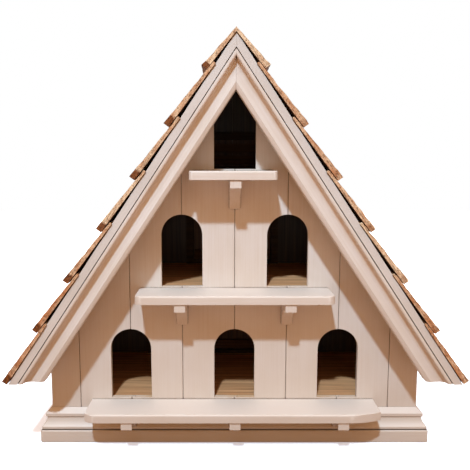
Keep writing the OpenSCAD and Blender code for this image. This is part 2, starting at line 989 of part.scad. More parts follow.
module leaf_screw() {
    rotate([90, 0, 0])
        translate([0, 0, -leaf_t])
            cylinder(h = screw_grip + leaf_t, r = screw_r);
    translate([0, leaf_t + screw_head_t, 0])
        rotate([90, 0, 0])
            cylinder(h = screw_head_t, r = screw_head_r);
}

// Below the pin everything is the mirror image of above it
module below_pin() {
    mirror([0, 0, 1])
        children();
}

module fixed_hinge_leaves() {
    color(brass)
        for (door = doors)
            at_hinges(door)
                below_pin()
                    leaf(outer_knuckles, [middle_space], pin_r);
}

module hinge_pins() {
    color(steel)
        for (door = doors)
            at_hinges(door)
                rod(pin_r, -hinge_l / 2, hinge_l / 2);
}

module door_hinges(door) {
    color(brass)
        at_hinges(door) {
            leaf([middle_knuckle], outer_spaces, pin_r + hinge_slack);
            leaf_screw_places()
                leaf_screw();
        }
}

module door_screw_holes(door) {
    at_hinges(door)
        leaf_screw_places()
            screw_hole();
}

// ---------- turn buttons ----------

// Pivots of the buttons, as [x, z]
bottom_button_z = door_top(bottom_door) + button_up;
middle_button_z = door_top(middle_door) + button_up;
top_button_at = [top_door[0] + button_up, top_door[1] + top_button_up];
pivots = [[-bottom_button_x, bottom_button_z], [bottom_button_x, bottom_button_z],
    [-middle_button_x, middle_button_z], [middle_button_x, middle_button_z], top_button_at];

// A button with round ends, level when upright is false
module button(at, upright) {
    straight = button_l - button_w;
    color(paint)
        translate([at[0], pivot_y + button_t, at[1]])
            rotate([90, upright ? 90 : 0, 0])
                linear_extrude(button_t)
                    difference() {
                        union() {
                            square([straight, button_w], center = true);
                            for (side = [-1, 1])
                                translate([side * straight / 2, 0])
                                    circle(button_w / 2);
                        }
                        circle(pivot_r + pivot_slack);
                    }
}

module pivot_hole(at) {
    translate([at[0], rear_y, at[1]])
        rotate([90, 0, 0])
            cylinder(h = screw_grip, r = pivot_r);
}

module pivot_screw(at) {
    head_y = pivot_y + button_t + rest_gap;
    translate([at[0], head_y, at[1]])
        rotate([90, 0, 0])
            cylinder(h = head_y - rear_y + screw_grip, r = pivot_r);
    translate([at[0], head_y + screw_head_t * 2, at[1]])
        rotate([90, 0, 0])
            cylinder(h = screw_head_t * 2, r = pivot_head_r);
}

module fixed_screw_holes() {
    for (door = doors)
        at_hinges(door)
            below_pin()
                leaf_screw_places()
                    screw_hole();
    for (at = pivots)
        pivot_hole(at);
}

module rear_screws() {
    color(brass) {
        for (door = doors)
            at_hinges(door)
                below_pin()
                    leaf_screw_places()
                        leaf_screw();
        for (at = pivots)
            pivot_screw(at);
    }
}

// ---------- nodes ----------

front_board(1);  // front_board_1
front_board(2);  // front_board_2
front_board(3);  // front_board_3
front_board(4);  // front_board_4
front_board(5);  // front_board_5
front_board(6);  // front_board_6
front_board(7);  // front_board_7
front_board(8);  // front_board_8
rear_boards(1, 4);  // rear_boards_left
rear_boards(5, 8);  // rear_boards_right
side_wall_left();
side_wall_right();
base_floor();
upper_floor(middle_floor_z);  // middle_floor
upper_floor(top_floor_z);  // top_floor
bottom_partitions();
middle_partition();
cleats();
base_strip_front();
base_strip_rear();
base_strips_side();
plinth_moulding_front();
plinth_moulding_rear();
plinth_mouldings_side();
roof_deck_left();
roof_deck_right();
rake_moulding_left();
rake_moulding_right();
rear_verge_boards();
eaves_fillets();
shingle_course(1);  // shingle_course_1
shingle_course(2);  // shingle_course_2
shingle_course(3);  // shingle_course_3
shingle_course(4);  // shingle_course_4
shingle_course(5);  // shingle_course_5
shingle_course(6);  // shingle_course_6
shingle_course(7);  // shingle_course_7
bottom_ledge();
middle_ledge();
top_ledge();
bottom_brackets();
middle_brackets();
bracket(0, top_ledge_d, top_ledge_z, bracket_h);  // top_bracket
fixed_hinge_leaves();
hinge_pins();
rear_screws();
door_boards(bottom_door);  // bottom_door_boards
door_battens(bottom_door);  // bottom_door_battens
door_hinges(bottom_door);  // bottom_door_hinges
door_boards(middle_door);  // middle_door_boards
door_battens(middle_door);  // middle_door_battens
door_hinges(middle_door);  // middle_door_hinges
door_boards(top_door);  // top_door_boards
door_battens(top_door);  // top_door_battens
door_hinges(top_door);  // top_door_hinges
button(pivots[0], false);  // bottom_button_left
button(pivots[1], false);  // bottom_button_right
button(pivots[2], false);  // middle_button_left
button(pivots[3], false);  // middle_button_right
button(pivots[4], true);  // top_button
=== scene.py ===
# %% [markdown]
# # Finishing a timber dovecote
# The joiner's work is already done: every board, moulding, shingle and hinge comes in as a solid
# at its real size, in metres, with the doorways facing -Y and the ground at z = 0. This lesson
# adds what a solid model leaves out: arrises eased by sandpaper and paint, brushed chalky paint,
# split cedar, tired brass, and light to see them by.

# %% Bring in the frame
import json
import math
import random

import bmesh
import bpy
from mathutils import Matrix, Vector, noise


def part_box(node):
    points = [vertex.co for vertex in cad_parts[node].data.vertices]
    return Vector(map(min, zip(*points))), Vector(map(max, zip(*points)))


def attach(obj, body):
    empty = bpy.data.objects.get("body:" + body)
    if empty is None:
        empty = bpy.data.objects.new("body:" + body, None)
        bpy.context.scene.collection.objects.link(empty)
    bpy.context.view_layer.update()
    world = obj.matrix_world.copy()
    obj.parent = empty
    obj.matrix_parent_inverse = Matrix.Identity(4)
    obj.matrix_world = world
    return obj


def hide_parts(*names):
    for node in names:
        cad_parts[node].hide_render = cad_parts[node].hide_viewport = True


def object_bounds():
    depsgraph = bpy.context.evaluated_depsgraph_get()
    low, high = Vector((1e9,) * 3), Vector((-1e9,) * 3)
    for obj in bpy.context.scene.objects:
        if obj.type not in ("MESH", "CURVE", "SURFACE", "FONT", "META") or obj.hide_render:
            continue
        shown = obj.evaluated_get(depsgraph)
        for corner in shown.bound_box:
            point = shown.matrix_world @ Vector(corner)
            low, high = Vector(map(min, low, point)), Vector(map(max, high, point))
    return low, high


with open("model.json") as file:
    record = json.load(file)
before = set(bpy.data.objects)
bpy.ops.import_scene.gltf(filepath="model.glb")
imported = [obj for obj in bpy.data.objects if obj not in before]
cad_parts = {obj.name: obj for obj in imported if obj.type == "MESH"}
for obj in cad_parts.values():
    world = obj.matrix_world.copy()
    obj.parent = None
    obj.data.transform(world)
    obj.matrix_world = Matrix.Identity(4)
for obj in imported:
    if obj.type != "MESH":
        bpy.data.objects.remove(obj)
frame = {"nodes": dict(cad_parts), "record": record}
solid_low, solid_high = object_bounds()
MM = 0.001

# %% [markdown]
# ## Sizes read off the solids
# A dressed piece has to land exactly where its solid is, so the few planes that the finishes need
# are read from the solids' own boxes. The roof's pitch is read off a deck: its foot is level, and
# its underside runs straight from the ridge to the eaves. The plinth's moulding is a cove with a
# nose above it, and the nose starts at a known share of the moulding's height.

# %% Planes and levels
NOSE_SHARE = 0.6
front_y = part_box("front_board_1")[0].y
inner_front_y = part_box("front_board_1")[1].y
rear_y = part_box("rear_boards_left")[1].y
inner_rear_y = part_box("rear_boards_left")[0].y
inner_half_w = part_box("base_floor")[1].x
strip_top_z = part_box("base_strip_front")[1].z
plinth_top_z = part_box("plinth_moulding_front")[1].z
nose_foot_z = strip_top_z + NOSE_SHARE * (plinth_top_z - strip_top_z)
eaves_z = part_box("roof_deck_right")[0].z
deck_apex_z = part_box("roof_deck_right")[1].z
pitch = math.atan((deck_apex_z - eaves_z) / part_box("roof_deck_right")[1].x)
print(f"front {front_y:.4f} rear {rear_y:.4f} pitch {math.degrees(pitch):.1f}")

# %% [markdown]
# ## A small language for shader nodes
# Node trees are hard to read as lists of links. Here an output of a node is wrapped so that
# ordinary sums on it add the nodes for those sums. Numbers go through Math, vectors through
# Vector Math and colours through Mix, because a Math node would turn a colour grey.


# %% Sums on sockets
class Wire:
    """An output of a node. Sums on wires add nodes to the same tree, which is called home."""

    def __init__(self, home, output):
        self.home = home
        self.output = output

    def also(self, name):
        return Wire(self.home, self.output.node.outputs[name])

    def _sum(self, operation, first, second):
        kinds = {x.output.type for x in (first, second) if isinstance(x, Wire)}
        if "RGBA" in kinds:
            settings = {"data_type": "RGBA", "blend_type": operation}
            return self.home.node("ShaderNodeMix", settings, Factor=1.0, A=first, B=second)
        if "VECTOR" in kinds:
            return self.home.node("ShaderNodeVectorMath", {"operation": operation}, first, second)
        return self.home.node("ShaderNodeMath", {"operation": operation}, first, second)

    def __add__(self, other):
        return self._sum("ADD", self, other)

    def __radd__(self, other):
        return self._sum("ADD", other, self)

    def __sub__(self, other):
        return self._sum("SUBTRACT", self, other)

    def __rsub__(self, other):
        return self._sum("SUBTRACT", other, self)

    def __mul__(self, other):
        return self._sum("MULTIPLY", self, other)

    def __rmul__(self, other):
        return self._sum("MULTIPLY", other, self)

    def __gt__(self, other):
        return self._sum("GREATER_THAN", self, other)

    def __lt__(self, other):
        return self._sum("LESS_THAN", self, other)

    def __abs__(self):
        return self.home.node("ShaderNodeMath", {"operation": "ABSOLUTE"}, self)


print("wires can be added, subtracted, multiplied and compared")

# %% [markdown]
# Every other node comes from one method, which sets the node's settings first and then fills its
# sockets, because some settings change which sockets a node has. The kinds that come up again and
# again have a short method of their own.


# %% Nodes of a tree
class Nodes:
    """A node tree, and the one way to add to it."""

    def __init__(self, tree):
        self.tree = tree

    def node(self, kind, settings=None, *values, **named):
        """Adds a node: its settings first, then its sockets in order or by name."""
        made = self.tree.nodes.new(kind)
        for key, value in (settings or {}).items():
            if key == "stops":
                for stop, (position, colour) in zip(self._stops(made, len(value)), value):
                    stop.position = position
                    stop.color = (*colour, 1.0)
            else:
                setattr(made, key, value)
        sockets = [s for s in made.inputs if s.enabled]
        for socket, value in zip(sockets, values):
            self.feed(socket, value)
        for key, value in named.items():
            self.feed(next(s for s in sockets if s.name == key.replace("_", " ")), value)
        return Wire(self, next(s for s in made.outputs if s.enabled))

    @staticmethod
    def _stops(ramp, count):
        while len(ramp.color_ramp.elements) < count:
            ramp.color_ramp.elements.new(0.5)
        return ramp.color_ramp.elements

    def feed(self, socket, value):
        if isinstance(value, Wire):
            self.tree.links.new(value.output, socket)
        elif isinstance(value, tuple) and socket.type == "RGBA":
            socket.default_value = (*value, 1.0)
        elif not isinstance(value, tuple) and socket.type == "VECTOR":
            socket.default_value = (value, value, value)
        else:
            socket.default_value = value

    def noise(self, place, detail=3.0, roughness=0.55, distortion=0.0):
        return self.node("ShaderNodeTexNoise", None, Vector=place, Scale=1.0, Detail=detail,
                         Roughness=roughness, Distortion=distortion)

    def ramp(self, value, *stops):
        """A colour that follows value through the stops, each a position and a colour."""
        return self.node("ShaderNodeValToRGB", {"stops": stops}, value)

    def between(self, share, low, high):
        return self.node("ShaderNodeMix", {"data_type": "RGBA"}, Factor=share, A=low, B=high)

    def span(self, value, low, high):
        """0 where value is low or less, 1 where it is high or more."""
        return self.node("ShaderNodeMapRange", None, value, low, high, 0.0, 1.0)

    def bumped(self, height, depth):
        return self.node("ShaderNodeBump", None, Strength=1.0, Distance=depth, Height=height)


print("node maker ready")

# %% [markdown]
# A finish is the tree of one material. It reads places in the piece's own measures, so the grain
# keeps its real size, and stays where it is on the wood when a door swings.


# %% Finishes
class Finish(Nodes):
    """A material whose surface is one Principled shader."""

    def __init__(self, name):
        self.material = bpy.data.materials.new(name)
        self.material.use_nodes = True
        super().__init__(self.material.node_tree)
        self.surface = self.tree.nodes["Principled BSDF"]
        self.place = self.node("ShaderNodeTexCoord").also("Object")

    def set(self, **sockets):
        for key, value in sockets.items():
            self.feed(self.surface.inputs[key.replace("_", " ")], value)
        return self.material


print("shader language ready")

# %% [markdown]
# ## Which way the grain runs
# Wood and brush marks are long one way and fine the other. The grain's direction is turned onto
# X and the place is then stretched, so that any noise read there comes out as streaks. The roof's
# two slopes mirror each other, so for them x is first made positive, and then one slope is moved
# well away in the noise so that the two don't match.

# %% Grain directions
SLOPES_APART = 3.0


def grain_place(f, grain):
    """The place with the grain along x, for a finish f. grain is upright, across, deep or slope."""
    parts = f.node("ShaderNodeSeparateXYZ", None, f.place)
    x, y, z = parts, parts.also("Y"), parts.also("Z")
    order = {
        "upright": (z, x, y),
        "across": (x, z, y),
        "deep": (y, x, z),
    }
    if grain in order:
        return f.node("ShaderNodeCombineXYZ", None, *order[grain])
    down = abs(x) * math.cos(pitch) - z * math.sin(pitch)
    off = abs(x) * math.sin(pitch) + z * math.cos(pitch)
    return f.node("ShaderNodeCombineXYZ", None, down, y + (x > 0.0) * SLOPES_APART, off)


print("grain runs down the slope at", round(math.degrees(pitch), 1), "degrees")

# %% [markdown]
# ## Inside is never painted
# A painter reaches the outside and the doorways' edges, and the birds have the rest. A board is
# one solid with both faces on it, so the finish itself has to know where inside is: between the
# front and rear walls' inner faces and between the side walls. A hair is added to each plane, so
# that the faces which lie in it count as inside. The doors' backs get a little more.

# %% Where inside is
SKIN = 0.4 * MM
DOOR_SKIN = 0.8 * MM


def inside(f):
    """1 on the surfaces of the nest boxes' insides and 0 outside."""
    parts = f.node("ShaderNodeSeparateXYZ", None, f.place)
    x, y = parts, parts.also("Y")
    across = abs(x) < inner_half_w + SKIN
    return across * (y > inner_front_y - SKIN) * (y < inner_rear_y + DOOR_SKIN)


print("inside is", round(2 * inner_half_w, 3), "by", round(inner_rear_y - inner_front_y, 3))

# %% [markdown]
# ## Bare timber
# Pine goes from straw to honey with darker late wood in thin lines. Distorted, stretched noise
# read over a narrow span gives those lines; a wave texture would be too regular. Nest floors are
# dusty. The walls and roof inside are nearly black, aged wood darkened further as painted shade for
# the dim boxes, and the doors' backs are a dark brown, also darkened as painted shade. In each pair
# of colours the lighter wood comes first.

# %% Bare timber
LATE_WOOD = (3.0, 150.0, 150.0)
DUST = 45.0
LINE_DEPTH = 0.3 * MM
PINE_LIGHT = (0.86, 0.43, 0.20)
PINE_DARK = (0.43, 0.18, 0.065)
# Inside wood and the doors' backs: aged wood, darkened further as painted shade for the dim nest boxes.
OLD_AND_SHADED = ((0.082, 0.043, 0.020), (0.034, 0.018, 0.008))
DOOR_BACK_AND_SHADED = ((0.165, 0.071, 0.028), (0.075, 0.030, 0.011))


def timber_colours(f, streaks, light, dark):
    """The wood's colour, and the late wood's lines that it is drawn with."""
    lines = f.noise(streaks * LATE_WOOD, detail=5.0, roughness=0.65, distortion=0.6)
    return f.between(f.span(lines, 0.35, 0.68), light, dark), lines


def bare_timber(name, grain, light, dark):
    f = Finish(name)
    colour, lines = timber_colours(f, grain_place(f, grain), light, dark)
    dust = f.noise(f.place * DUST, detail=4.0)
    colour = f.between(f.span(dust, 0.5, 0.8) * 0.35, colour, tuple(0.6 * c for c in light))
    rough = f.span(dust, 0.0, 1.0) * 0.2 + 0.68
    return f.set(Base_Color=colour, Roughness=rough, Normal=f.bumped(lines, LINE_DEPTH))


print("bare timber ready")

# %% [markdown]
# ## Chalky paint
# The real paint is a warm white, brushed on along each board. Three things make the coat: cloudy
# unevenness as wide as a hand, brush marks that are fine across the grain, and a fine tooth. All
# stay slight, because a coat that is plainly patterned looks printed. Level tops are tinted a
# little warmer than upright faces, which is painted light for how the light falls on tops, and the
# roof boards' edges, which catch the rain, have gone grey. Each coat is a pair of colours that the
# clouds and brush marks go between.

# %% The coat
PAINT = (0.775, 0.690, 0.632)
PAINT_WARM = (0.715, 0.612, 0.530)
PAINT_WORN = (0.66, 0.55, 0.46)
# Painted light: the warmer tint given to faces that look up.
TOP_LIGHT_TINT = (0.81, 0.685, 0.595)
WALL_COAT = (PAINT, PAINT_WARM)
ROOF_COAT = ((0.70, 0.64, 0.60), (0.63, 0.565, 0.515))
CLOUDS = 9.0
BRUSH_MARKS = (7.0, 320.0, 320.0)
TOOTH = 1400.0
SPECKS = 240.0
COAT_DEPTH = 0.12 * MM


def level(f):
    """1 on surfaces that face up and 0 on upright ones."""
    facing = f.node("ShaderNodeNewGeometry").also("Normal")
    return f.span(f.node("ShaderNodeSeparateXYZ", None, facing).also("Z"), 0.4, 0.8)


def paint_layers(f, streaks, coat):
    """The coat's colour, its height and its clouds, before anything gets at it."""
    cloud = f.noise(f.place * CLOUDS, detail=3.0)
    brush = f.noise(streaks * BRUSH_MARKS, detail=3.0, roughness=0.6)
    tooth = f.noise(f.place * TOOTH, detail=2.0)
    share = f.span(cloud * 0.6 + brush * 0.4, 0.40, 0.60)
    colour = f.between(share, *coat)
    speck = f.noise(f.place * SPECKS, detail=2.0)
    colour = f.between(f.span(speck, 0.68, 0.78) * 0.25, colour, PAINT_WORN)
    # Painted light: up-facing faces are tinted warmer, for how the light falls on them.
    colour = f.between(level(f) * 0.8, colour, TOP_LIGHT_TINT)
    return colour, brush * 0.7 + tooth * 0.3, cloud


print("coat ready")

# %% [markdown]
# ## Dirt and painted shade
# Upright faces get darker and browner towards the ground: partly soil that rain splashes up the
# walls, and partly painted shade for the light falling off low down. An Ambient Occlusion node
# tells how shut in a point is, and there the colour is darkened: grime, and painted shade in
# corners and inside edges. A nearly black line of dirt and painted shade fills the joints between
# pieces. The open joints between roof boards and moulding get the most, and those between wall
# boards are half full of paint. The plinth's two long lines, over the base strip and under the
# moulding's nose, are dark nearly all the way along, so they are drawn at their own heights: the
# one over the strip is a dark joint with painted shade in it, and the one under the nose is a
# painted shadow of the nose.

# %% Grime and painted shade
# Colour and height of the splashed dirt and painted shade low on upright faces.
PAINT_SPLASHED_AND_SHADED = (0.58, 0.465, 0.375)
SPLASH_AND_SHADE_TOP = 0.55
# Colour of the grime and painted shade in corners, and how far the Ambient Occlusion looks.
CORNER_GRIME_AND_SHADE = (0.16, 0.085, 0.04)
CORNER_SHADE_REACH = 6 * MM
# Nearly black joint colour: dark dirt in joints together with painted shade in narrow gaps.
JOINT_DIRT_AND_SHADE = (0.05, 0.026, 0.012)
GAP_SHADE_REACH = 5 * MM
JOINT_DIRT_AND_SHADE_SHARE = {"upright": 0.4, "across": 0.35, "slope": 1.0, "deep": 1.0}
PLINTH_GRAINS = ("across", "deep")
# The plinth's dark lines: over the base strip a dark joint with painted shade, under the nose a painted
# shadow.
STRIP_JOINT = 1.1 * MM
NOSE_SHADOW_LINE = 0.6 * MM
NOSE_DROP = 0.7 * MM
PLINTH_JOINT_AND_SHADOW_LINES = ((strip_top_z + STRIP_JOINT, STRIP_JOINT), (nose_foot_z - NOSE_DROP, NOSE_SHADOW_LINE))


def grimed_and_shaded(f, colour, cloud, grain):
    """The colour with grime and painted shade in corners and joints, and low down on upright faces."""
    height = f.node("ShaderNodeSeparateXYZ", None, f.place).also("Z")
    # Splashed dirt and painted shade: upright faces darker and browner towards the ground.
    low = (1.0 - f.span(height + cloud * 0.12, 0.02, SPLASH_AND_SHADE_TOP)) * (1.0 - level(f))
    colour = f.between(low * 0.75, colour, PAINT_SPLASHED_AND_SHADED)
    # Painted shade: corners and inside edges that Ambient Occlusion finds shut in are darkened, broken up by
    # clouds like grime.
    corner_grime_and_shade = 1.0 - f.node("ShaderNodeAmbientOcclusion", {"samples": 6}, Distance=CORNER_SHADE_REACH).also("AO")
    colour = f.between(f.span(corner_grime_and_shade * (cloud + 0.55), 0.26, 0.72) * 0.85, colour, CORNER_GRIME_AND_SHADE)
    # Dark joint dirt and painted shade: a short-reach Ambient Occlusion darkens narrow gaps and inside
    # corners.
    gap_shade = 1.0 - f.node("ShaderNodeAmbientOcclusion", {"samples": 8}, Distance=GAP_SHADE_REACH).also("AO")
    joint_dirt_and_shade = f.span(gap_shade + cloud * 0.3, 0.57, 0.74) * JOINT_DIRT_AND_SHADE_SHARE[grain]
    # Painted shadow lines along the plinth, drawn at fixed heights and broken up by clouds.
    dark_lines = PLINTH_JOINT_AND_SHADOW_LINES if grain in PLINTH_GRAINS else ()
    for joint_z, half_w in dark_lines:
        off_line = f.span(abs(height - joint_z), half_w * 0.8, half_w * 1.6)
        line = (1.0 - off_line) * f.span(cloud, 0.15, 0.4)
        joint_dirt_and_shade = f.node("ShaderNodeMath", {"operation": "MAXIMUM"}, joint_dirt_and_shade, line)
    return f.between(joint_dirt_and_shade * 0.9, colour, JOINT_DIRT_AND_SHADE)


print("plinth joints at", [round(z, 4) for z, _ in PLINTH_JOINT_AND_SHADOW_LINES])

# %% [markdown]
# ## Painted timber
# Now the coat, the dirt and the painted shade go on. Three places are left out: the sills, where feet
# have worn the paint down to the wood; the slopes under the shingles, which nobody paints and which
# are made nearly black as painted shade; and the inside.

# %% Painted timber
SILL = (0.72, 0.46, 0.27)


def trodden(f):
    """1 on the doorways' sills, which are level and lie within the front wall's thickness."""
    y = f.node("ShaderNodeSeparateXYZ", None, f.place).also("Y")
    return level(f) * (y > front_y + SKIN) * (y < inner_front_y + SKIN)


def shaded_under_shingles(f):
    """1 on the slopes that the shingles cover, which are unpainted and take a painted shade."""
    facing = f.node("ShaderNodeSeparateXYZ", None, f.node("ShaderNodeNewGeometry").also("Normal"))
    return f.span(facing.also("Z"), 0.45, 0.5) * f.span(abs(facing.also("X")), 0.6, 0.7)


def painted_timber(name, grain, coat=WALL_COAT, within=OLD_AND_SHADED, shade_covered=False):
    f = Finish(name)
    streaks = grain_place(f, grain)
    colour, height, cloud = paint_layers(f, streaks, coat)
    colour = grimed_and_shaded(f, colour, cloud, grain)
    colour = f.between(trodden(f) * f.span(cloud, 0.25, 0.6), colour, SILL)
    if shade_covered:
        # Painted shade: the slopes under the shingles are nearly black, so the gaps under the butts read
        # dark.
        colour = f.between(shaded_under_shingles(f), colour, OLD_AND_SHADED[1])
    bare, _ = timber_colours(f, streaks, *within)
    # Inside faces take the nearly black bare wood, which is partly painted shade.
    colour = f.between(inside(f), colour, bare)
    return f.set(Base_Color=colour, Roughness=cloud * 0.2 + 0.5, Normal=f.bumped(height, COAT_DEPTH))


PAINTS = {grain: painted_timber("paint_" + grain, grain) for grain in ("upright", "across", "deep", "slope")}
ROOF_PAINT = painted_timber("paint_roof", "deep", coat=ROOF_COAT, shade_covered=True)
DOOR_PAINT = painted_timber("paint_door", "upright", within=DOOR_BACK_AND_SHADED)
print("paints:", ", ".join(PAINTS), "roof, door")

# %% [markdown]
# ## Worn arrises
# Paint is thinnest on an edge, where it wears and flakes first. The eased edges of the dressed
# pieces are faces of their own, so they can have their own finish: the same coat, dirt and painted
# shade, with small flakes gone down to the wood where hands and weather have rubbed the edge.

# %% Worn edge paint
BARE_CHIP = (0.33, 0.19, 0.10)
FLAKES = 210.0
RUBBED = 14.0


def worn_edge(name, grain, coat=WALL_COAT, within=OLD_AND_SHADED):
    f = Finish(name)
    streaks = grain_place(f, grain)
    colour, height, cloud = paint_layers(f, streaks, coat)
    flakes = f.noise(f.place * FLAKES, detail=4.0, roughness=0.7)
    rubbed = f.noise(f.place * RUBBED, detail=2.0)
    gone = f.span(flakes + rubbed * 0.35, 0.78, 0.84)
    colour = f.between(gone, grimed_and_shaded(f, colour, cloud, grain), BARE_CHIP)
    bare, _ = timber_colours(f, streaks, *within)
    # Inside edges take the nearly black bare wood, which is partly painted shade.
    colour = f.between(inside(f), colour, bare)
    return f.set(Base_Color=colour, Roughness=cloud * 0.2 + 0.5, Normal=f.bumped(height, COAT_DEPTH))


WORN = {grain: worn_edge("worn_" + grain, grain) for grain in PAINTS}
WORN_ROOF = worn_edge("worn_roof", "deep", coat=ROOF_COAT)
WORN_DOOR = worn_edge("worn_door", "upright", within=DOOR_BACK_AND_SHADED)
print("worn edges:", ", ".join(WORN), "roof, door")

# %% [markdown]
# ## Cedar
# Split cedar is tan where it is fresh and red-brown where the weather has been at it, with dark
# lines along the grain. A broad face shows a long, drawn grain and a narrow side shows short dark
# flecks, so the way that a face looks picks between them. Each shingle came off a different log,
# so its mesh carries a number called tone, and a number called butt that rises at the sawn lower
# end, which soaks up rain and rots in spots. The undersides are made nearly black, as painted
# shade for the gaps under the butts. Raw wood hardly shines, so the shader's specular level is
# turned down.

# %% Split cedar
CEDAR_PALE = (0.95, 0.71, 0.47)
CEDAR_RED = (0.56, 0.235, 0.10)
CEDAR_LINE = (0.12, 0.048, 0.018)
CEDAR_SOAKED = (0.225, 0.062, 0.009)
# Nearly black: the colour of rot spots and also the painted shade on undersides.
CEDAR_ROT_AND_SHADE = (0.075, 0.019, 0.004)
RAW_SHEEN = 0.15
SIDE_GRAIN = (40.0, 60.0, 90.0)
DRAWN_GRAIN = (7.0, 75.0, 90.0)
SPLIT_LINES = (16.0, 420.0, 600.0)
SPLIT_FLECKS = (230.0, 300.0, 330.0)
SPLIT_DEPTH = 0.5 * MM


def split_cedar(name):
    f = Finish(name)
    streaks = grain_place(f, "slope")
    tone = f.node("ShaderNodeAttribute", {"attribute_name": "tone"}).also("Fac")
    butt = f.node("ShaderNodeAttribute", {"attribute_name": "butt"}).also("Fac")
    facing = f.node("ShaderNodeSeparateXYZ", None, f.node("ShaderNodeNewGeometry").also("Normal"))
    side_face = f.span(abs(facing.also("Y")), 0.4, 0.8)
    underside_shade = f.span(facing.also("Z") * -1.0, 0.2, 0.45)
    short = f.noise(streaks * SIDE_GRAIN, detail=3.0, distortion=0.4)
    drawn = f.noise(streaks * DRAWN_GRAIN, detail=4.0, distortion=0.5)
    lines = f.noise(streaks * SPLIT_LINES, detail=4.0, roughness=0.7, distortion=0.3)
    flecks = f.noise(streaks * SPLIT_FLECKS, detail=3.0, roughness=0.7, distortion=0.8)
    shade = f.node("ShaderNodeMix", {"data_type": "FLOAT"}, side_face, drawn, short)
    red = f.span(shade * 1.15 + tone * 0.30, 0.52, 0.98)
    colour = f.between(red, CEDAR_PALE, CEDAR_RED)
    colour = f.between(f.span(lines, 0.50, 0.66) * 0.65, colour, CEDAR_LINE)
    colour = f.between(f.span(flecks, 0.51, 0.59) * (side_face * 0.60 + 0.10), colour, CEDAR_LINE)
    soaked = f.span(butt + short * 0.6, 0.88, 1.16)
    rot = f.between(f.span(flecks, 0.46, 0.56), CEDAR_SOAKED, CEDAR_ROT_AND_SHADE)
    colour = f.between(soaked * 0.95, colour, rot)
    # Painted shade: faces turned down are made nearly black.
    colour = f.between(underside_shade * 0.85, colour, CEDAR_ROT_AND_SHADE)
    height = lines * -1.0 + shade - flecks * side_face * 0.6
    return f.set(Base_Color=colour, Roughness=shade * 0.2 + 0.62, Specular_IOR_Level=RAW_SHEEN,
                 Normal=f.bumped(height, SPLIT_DEPTH))


CEDAR = split_cedar("cedar")
print("cedar ready")

# %% [markdown]
# ## Brass and steel
# Hinges that live outdoors go dull and brown in the corners while hands and rain keep the high
# spots bright. Metal shows that in its roughness as much as in its colour.

# %% Metals
STAINS = 160.0
SCRATCHES = (60.0, 2200.0, 2200.0)
SCRATCH_DEPTH = 0.02 * MM


def old_metal(name, bright, dull):
    f = Finish(name)
    stain = f.noise(f.place * STAINS, detail=5.0, roughness=0.65)
    scratch = f.noise(grain_place(f, "across") * SCRATCHES, detail=2.0)
    share = f.span(stain, 0.38, 0.66)
    rough = stain * 0.35 + scratch * 0.15 + 0.26
    return f.set(Base_Color=f.between(share, bright, dull), Metallic=1.0, Roughness=rough,
                 Normal=f.bumped(scratch, SCRATCH_DEPTH))


BRASS = old_metal("old_brass", (0.50, 0.355, 0.155), (0.20, 0.13, 0.06))
STEEL = old_metal("old_steel", (0.46, 0.45, 0.44), (0.22, 0.19, 0.17))
print("metals ready")

# %% [markdown]
# ## Dressing a piece
# A solid straight from the drawing has edges sharper than any real board, and its mesh is a heap
# of triangles. The mesh is copied, its split corners are joined, and its flat triangles are
# dissolved into whole faces. It also brings its own normals along, which would go wrong on new
# faces, so they are thrown away.

# %% Copy a solid's mesh
SAME_POINT = 0.004 * MM
FLAT = math.radians(0.6)


def clean_copy(node, name):
    """A new object with the node's mesh, its corners joined and its flat faces whole."""
    mesh = bpy.data.meshes.new(name)
    bm = bmesh.new()
    bm.from_mesh(frame["nodes"][node].data)
    bmesh.ops.remove_doubles(bm, verts=bm.verts, dist=SAME_POINT)
    bmesh.ops.dissolve_limit(bm, angle_limit=FLAT, verts=bm.verts, edges=bm.edges)
    bm.to_mesh(mesh)
    bm.free()
    mesh.attributes.remove(mesh.attributes["custom_normal"])
    piece = bpy.data.objects.new(name, mesh)
    bpy.context.scene.collection.objects.link(piece)
    return piece


print("flat is within", round(math.degrees(FLAT), 1), "degrees")

# %% [markdown]
# Now the square edges are eased with a small bevel, whose faces can have a finish of their own.
# New normals follow. The broad faces set them, because otherwise a flat board would be shaded as
# if it were swollen next to each rounded edge.

# %% Ease the edges
PAINT_EASE = 0.9 * MM
SHARP = math.radians(50)
FACET = math.radians(26)


def bake_modifiers(piece):
    """Swaps the piece's mesh for the one that its modifiers make."""
    depsgraph = bpy.context.evaluated_depsgraph_get()
    made = bpy.data.meshes.new_from_object(piece.evaluated_get(depsgraph))
    piece.modifiers.clear()
    plain = piece.data
    piece.data = made
    bpy.data.meshes.remove(plain)


def ease_edges(piece, width):
    """Bevels the square edges. The bevel's faces take the piece's second material."""
    bevel = piece.modifiers.new("ease", "BEVEL")
    bevel.width = width
    bevel.segments = 2
    bevel.limit_method = "ANGLE"
    bevel.angle_limit = SHARP
    bevel.material = 1
    bevel.miter_outer = "MITER_ARC"
    bake_modifiers(piece)


def smooth(piece, angle=FACET):
    """Shades the piece smooth, apart from edges sharper than the angle."""
    piece.data.shade_smooth()
    piece.data.set_sharp_from_angle(angle=angle)


def keep_flats_flat(piece):
    """Lets the broad faces set the normals, so that only a bevel's own faces look round."""
    weigh = piece.modifiers.new("weigh", "WEIGHTED_NORMAL")
    weigh.keep_sharp = True
    bake_modifiers(piece)


print("painted edges are eased by", PAINT_EASE / MM, "mm")

# %% [markdown]
# A dressed piece stands for its solid, which is then no longer shown, and it moves with the body
# that the solid belongs to.

# %% Dress a node
body_of_node = {}
for body, nodes in frame["record"]["behaviour"]["bodies"].items():
    for node in nodes:
        body_of_node[node] = body


def stand_for(piece, slot, *nodes):
    """The piece rides on its nodes' body and replaces them. The slot is not used."""
    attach(piece, body_of_node[nodes[0]])
    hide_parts(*nodes)


